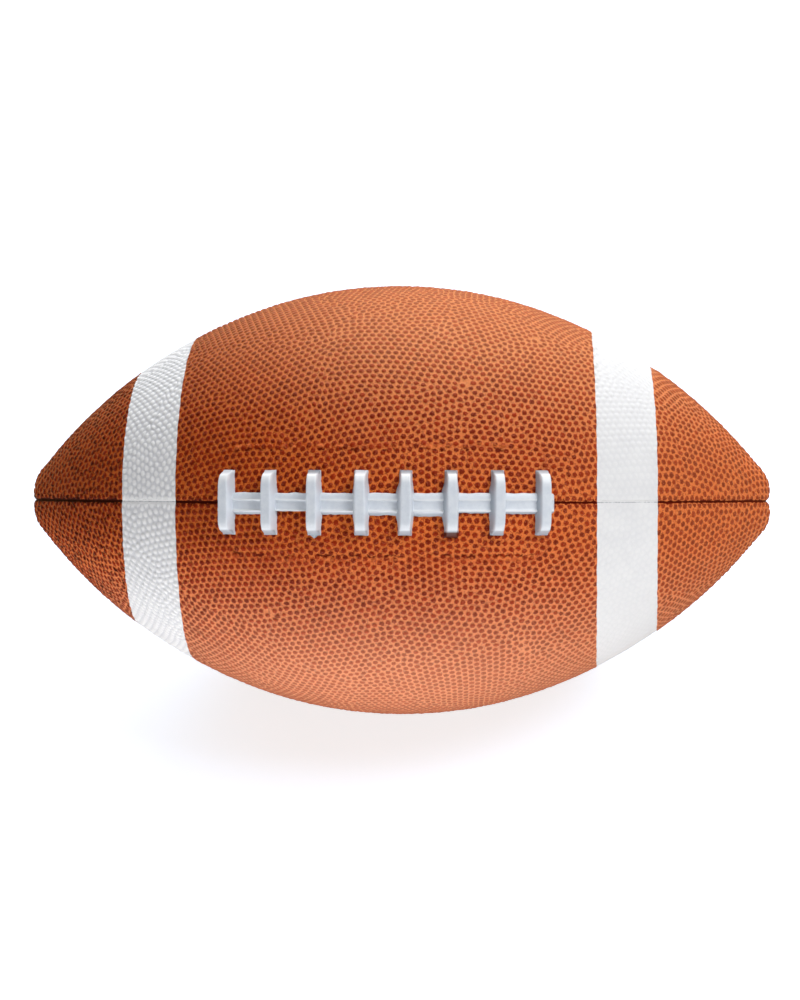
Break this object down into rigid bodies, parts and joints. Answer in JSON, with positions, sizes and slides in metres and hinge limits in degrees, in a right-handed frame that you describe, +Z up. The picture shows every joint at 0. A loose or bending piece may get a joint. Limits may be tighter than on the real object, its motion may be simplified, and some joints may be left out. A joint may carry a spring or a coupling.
{
  "type": "american football",
  "caption": "Full-size American football with a pebbled rubber cover, white stripes, raised moulded lacing, and an air bladder with a needle valve.",
  "frame": {"origin": "the middle of the ball, on its long axis; the ball lies on its belly on a floor at Z = -84 mm", "axes": "+X along the ball's long axis towards its right nose, +Z up, -Y to the front; the lacing faces the front, turned 39 degrees up from level"},
  "size_m": [0.2898, 0.168, 0.168],
  "materials": {
    "cover_rubber": "pebbled, dull with soft highlights on the pebbles, tan valleys and dark brown pebble tips",
    "stripe_rubber": "white, pebbled like the cover, satin",
    "lace_rubber": "white paint on moulded rubber, satin",
    "pad_fabric": "rubber-coated woven cloth, matt",
    "carcass_rubber": "rubber-coated fabric, matt",
    "nylon_thread": "wound nylon yarn, matt",
    "butyl_rubber": "smooth butyl, satin",
    "valve_rubber": "moulded soft rubber, matt",
    "plug_rubber": "moulded soft rubber, satin"
  },
  "bodies": {
    "root": {"panel_front_upper": "cover_rubber", "panel_front_lower": "cover_rubber", "panel_rear_upper": "cover_rubber", "panel_rear_lower": "cover_rubber", "stripe_left_front_upper": "stripe_rubber", "stripe_left_front_lower": "stripe_rubber", "stripe_left_rear_upper": "stripe_rubber", "stripe_left_rear_lower": "stripe_rubber", "stripe_right_front_upper": "stripe_rubber", "stripe_right_front_lower": "stripe_rubber", "stripe_right_rear_upper": "stripe_rubber", "stripe_right_rear_lower": "stripe_rubber", "lace_strip": "lace_rubber", "cross_lace_1": "lace_rubber", "cross_lace_2": "lace_rubber", "cross_lace_3": "lace_rubber", "cross_lace_4": "lace_rubber", "cross_lace_5": "lace_rubber", "cross_lace_6": "lace_rubber", "cross_lace_7": "lace_rubber", "cross_lace_8": "lace_rubber", "lace_pad": "pad_fabric", "carcass": "carcass_rubber", "thread_winding": "nylon_thread", "bladder": "butyl_rubber", "valve_boot": "valve_rubber", "valve_plug": "plug_rubber"}
  },
  "joints": []
}
